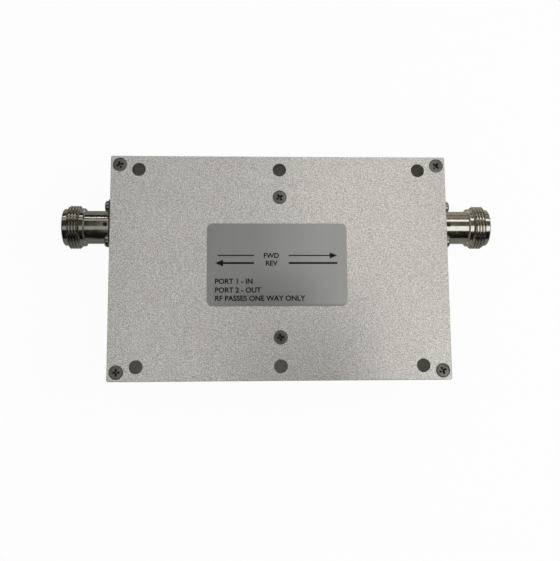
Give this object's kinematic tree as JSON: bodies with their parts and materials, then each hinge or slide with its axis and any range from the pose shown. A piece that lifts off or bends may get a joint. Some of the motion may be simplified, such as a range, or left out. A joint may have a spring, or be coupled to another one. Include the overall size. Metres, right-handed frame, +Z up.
{
  "type": "rf isolator",
  "caption": "Flat milled aluminium box that lets a radio signal through one way, with a threaded coaxial jack on each end and mounting holes right through.",
  "frame": {"origin": "middle of the case's base, under the case's centre", "axes": "+X from the input jack to the output jack, +Y towards the side that the jacks lie nearer to, +Z up through the lid"},
  "size_m": [0.1578, 0.08, 0.0302],
  "materials": {
    "case_aluminium": "milled and bead-blasted",
    "lid_aluminium": "bead-blasted",
    "label_foil": "satin grey foil",
    "label_ink": "black print",
    "cover_screw_steel": "dull zinc",
    "jack_nickel": "bright nickel plate on turned brass",
    "flange_screw_steel": "bright nickel plate",
    "bead_plastic": "white fluoropolymer",
    "contact_gold": "gold plate",
    "stake_epoxy": "black epoxy",
    "pole_steel": "nickel-plated mild steel",
    "magnet_ceramic": "ground hard ferrite",
    "ring_plastic": "natural acetal",
    "plate_silver": "silver plate",
    "ferrite_ceramic": "ground garnet ferrite",
    "conductor_silver": "silver-plated sheet",
    "capacitor_ceramic": "bare ceramic block",
    "load_copper": "bare copper flange",
    "load_ceramic": "bare beryllia",
    "load_screw_steel": "plain stainless"
  },
  "bodies": {
    "root": {"housing": "case_aluminium", "lid": "lid_aluminium", "rating_label": "label_foil", "cover_screws": "cover_screw_steel", "interstage_link": "conductor_silver", "input_jack_shell": "jack_nickel", "output_jack_shell": "jack_nickel", "input_jack_bead": "bead_plastic", "output_jack_bead": "bead_plastic", "input_jack_contact": "contact_gold", "output_jack_contact": "contact_gold", "input_stake_epoxy": "stake_epoxy", "output_stake_epoxy": "stake_epoxy", "input_flange_screws": "flange_screw_steel", "output_flange_screws": "flange_screw_steel", "input_lower_pole_plate": "pole_steel", "output_lower_pole_plate": "pole_steel", "input_lower_magnet": "magnet_ceramic", "output_lower_magnet": "magnet_ceramic", "input_lower_magnet_ring": "ring_plastic", "output_lower_magnet_ring": "ring_plastic", "input_lower_ground_plate": "plate_silver", "output_lower_ground_plate": "plate_silver", "input_lower_ferrite": "ferrite_ceramic", "output_lower_ferrite": "ferrite_ceramic", "input_centre_conductor": "conductor_silver", "output_centre_conductor": "conductor_silver", "input_upper_ferrite": "ferrite_ceramic", "output_upper_ferrite": "ferrite_ceramic", "input_upper_ground_plate": "plate_silver", "output_upper_ground_plate": "plate_silver", "input_upper_magnet": "magnet_ceramic", "output_upper_magnet": "magnet_ceramic", "input_upper_magnet_ring": "ring_plastic", "output_upper_magnet_ring": "ring_plastic", "input_upper_pole_plate": "pole_steel", "output_upper_pole_plate": "pole_steel", "input_jack_capacitor": "capacitor_ceramic", "output_jack_capacitor": "capacitor_ceramic", "input_link_capacitor": "capacitor_ceramic", "output_link_capacitor": "capacitor_ceramic", "input_load_capacitor": "capacitor_ceramic", "output_load_capacitor": "capacitor_ceramic", "input_load_flange": "load_copper", "output_load_flange": "load_copper", "input_load_chip": "load_ceramic", "output_load_chip": "load_ceramic", "input_load_cap": "load_ceramic", "output_load_cap": "load_ceramic", "input_load_tab": "conductor_silver", "output_load_tab": "conductor_silver", "input_load_screws": "load_screw_steel", "output_load_screws": "load_screw_steel"}
  },
  "joints": []
}
